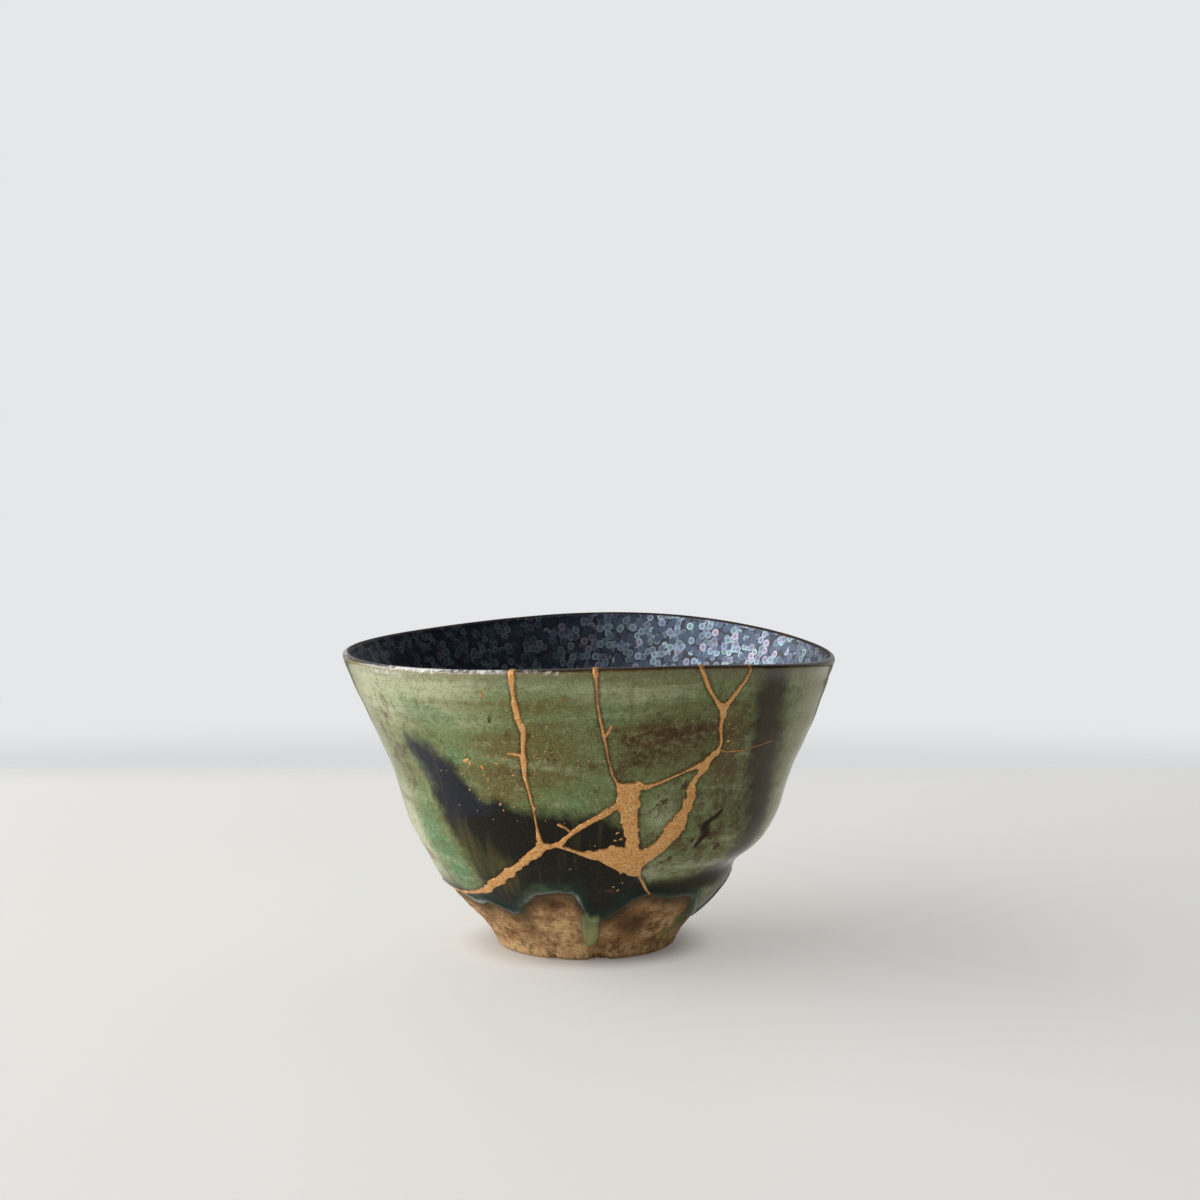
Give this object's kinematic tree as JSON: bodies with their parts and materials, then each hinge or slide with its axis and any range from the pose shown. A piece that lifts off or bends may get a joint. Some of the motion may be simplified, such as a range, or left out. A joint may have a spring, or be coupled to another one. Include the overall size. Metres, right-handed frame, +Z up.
{
  "type": "kintsugi tea bowl",
  "caption": "Footed stoneware tea bowl with a flared, slightly uneven wall, broken and mended with raised gold seams and fills.",
  "frame": {"origin": "middle of the bowl's box, on the surface that the foot ring stands on", "axes": "+Z up, +Y towards the plain back, so the mended front faces -Y, +X to the right seen from the front"},
  "size_m": [0.1252, 0.1206, 0.0787],
  "materials": {
    "glazed_stoneware": "green, olive and black-purple flowing ash glaze, glossy, over bare brown stoneware at the foot",
    "gold_lacquer": "satin gold powder on lacquer"
  },
  "bodies": {
    "root": {"bowl_body": "glazed_stoneware", "rim_sherd_left": "glazed_stoneware", "rim_sherd_right": "glazed_stoneware", "rim_chip": "glazed_stoneware", "belly_sherd_left": "glazed_stoneware", "belly_sherd_right": "glazed_stoneware", "gold_seams": "gold_lacquer"}
  },
  "joints": []
}
